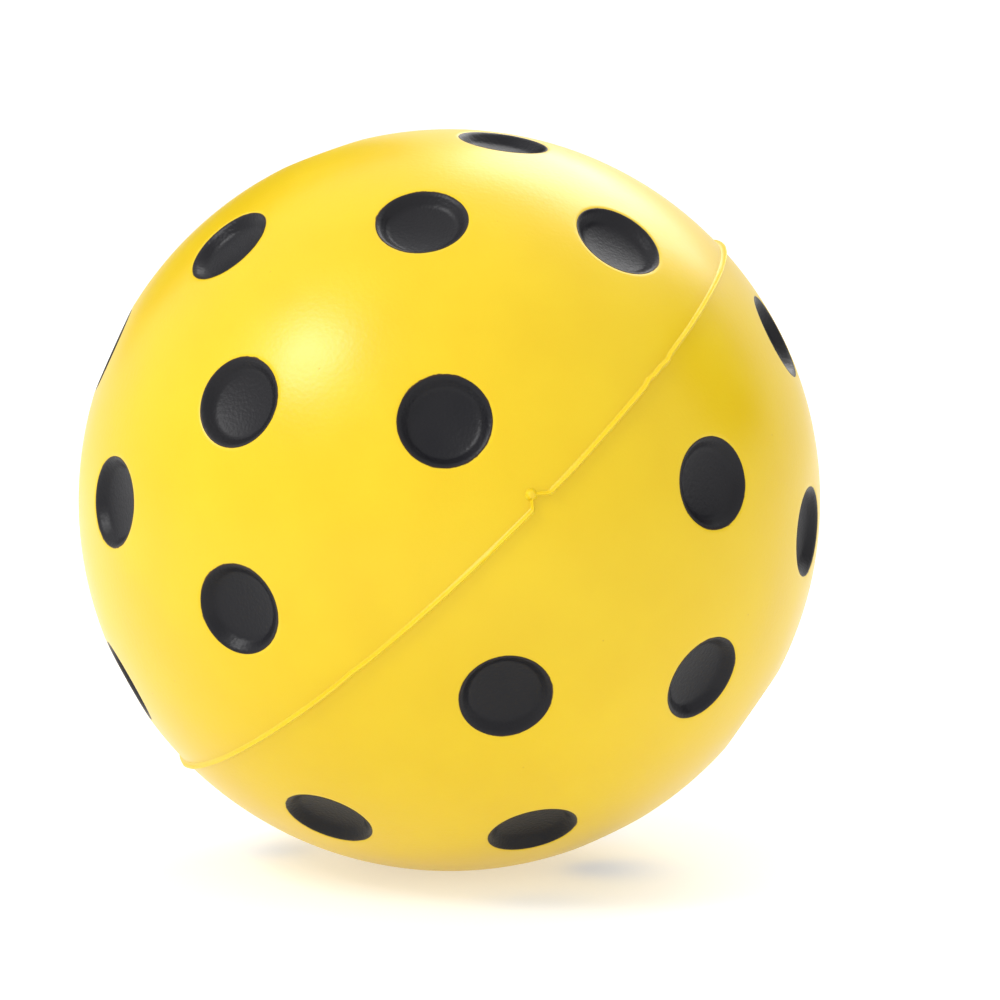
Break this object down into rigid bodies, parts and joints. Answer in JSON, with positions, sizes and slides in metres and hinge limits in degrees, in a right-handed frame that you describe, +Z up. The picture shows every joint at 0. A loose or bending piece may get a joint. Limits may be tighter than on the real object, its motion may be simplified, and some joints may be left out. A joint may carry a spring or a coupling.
{
  "type": "foam pickleball",
  "caption": "Soft moulded foam pickleball, with round black-painted blind dimples all over and a raised parting line.",
  "frame": {"origin": "centre of the ball", "axes": "+Z up, with the ball resting on the rim of one dimple whose axis points along -Z; +Y away from the viewer of the front, +X to the right; the mould's parting plane leans 43.5 degrees"},
  "size_m": [0.074, 0.0746, 0.0737],
  "materials": {
    "foam": "open-cell polyurethane foam, matt",
    "yellow_skin": "satin moulded polyurethane skin with a fine pebble grain",
    "yellow_flash": "satin, thin and slightly translucent at the crest",
    "black_paint": "satin elastic paint with an orange-peel surface"
  },
  "bodies": {
    "root": {"foam_core": "foam", "lower_middle_paint_1": "black_paint", "lower_middle_paint_2": "black_paint", "lower_middle_paint_3": "black_paint", "lower_middle_paint_4": "black_paint", "lower_middle_paint_5": "black_paint", "lower_middle_paint_6": "black_paint", "lower_middle_paint_7": "black_paint", "lower_middle_paint_8": "black_paint", "lower_pole_paint_1": "black_paint", "lower_pole_paint_2": "black_paint", "lower_pole_paint_3": "black_paint", "lower_pole_paint_4": "black_paint", "lower_seam_paint_1": "black_paint", "lower_seam_paint_2": "black_paint", "lower_seam_paint_3": "black_paint", "lower_seam_paint_4": "black_paint", "lower_seam_paint_5": "black_paint", "lower_seam_paint_6": "black_paint", "lower_seam_paint_7": "black_paint", "lower_seam_paint_8": "black_paint", "lower_skin": "yellow_skin", "parting_flash": "yellow_flash", "upper_middle_paint_1": "black_paint", "upper_middle_paint_2": "black_paint", "upper_middle_paint_3": "black_paint", "upper_middle_paint_4": "black_paint", "upper_middle_paint_5": "black_paint", "upper_middle_paint_6": "black_paint", "upper_middle_paint_7": "black_paint", "upper_middle_paint_8": "black_paint", "upper_pole_paint_1": "black_paint", "upper_pole_paint_2": "black_paint", "upper_pole_paint_3": "black_paint", "upper_pole_paint_4": "black_paint", "upper_seam_paint_1": "black_paint", "upper_seam_paint_2": "black_paint", "upper_seam_paint_3": "black_paint", "upper_seam_paint_4": "black_paint", "upper_seam_paint_5": "black_paint", "upper_seam_paint_6": "black_paint", "upper_seam_paint_7": "black_paint", "upper_seam_paint_8": "black_paint", "upper_skin": "yellow_skin", "vent_stub": "yellow_flash"}
  },
  "joints": []
}
